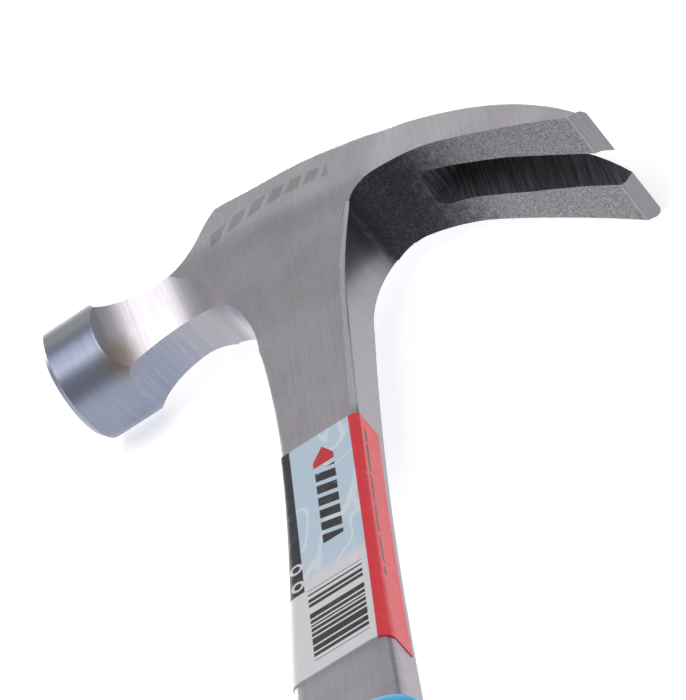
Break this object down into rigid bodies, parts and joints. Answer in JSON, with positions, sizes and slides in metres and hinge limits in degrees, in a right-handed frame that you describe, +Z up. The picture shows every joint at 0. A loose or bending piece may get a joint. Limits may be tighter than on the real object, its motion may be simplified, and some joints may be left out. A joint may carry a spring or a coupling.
{
  "type": "claw hammer",
  "caption": "One-piece forged steel claw hammer with a round striking face, a slotted claw, a flat shank and a soft grip with a hang hole.",
  "frame": {"origin": "under the middle of the box, on the surface that the hammer lies on", "axes": "+X from the striking face to the claw, +Y from the butt to the top of the head, +Z up out of the cheek that faces up"},
  "size_m": [0.1386, 0.3376, 0.0308],
  "materials": {
    "forged_steel": "satin",
    "grip_rubber": "matte",
    "label_film": "gloss"
  },
  "bodies": {
    "root": {"hammer_forging": "forged_steel", "grip_sleeve": "grip_rubber", "shank_label": "label_film"}
  },
  "joints": []
}
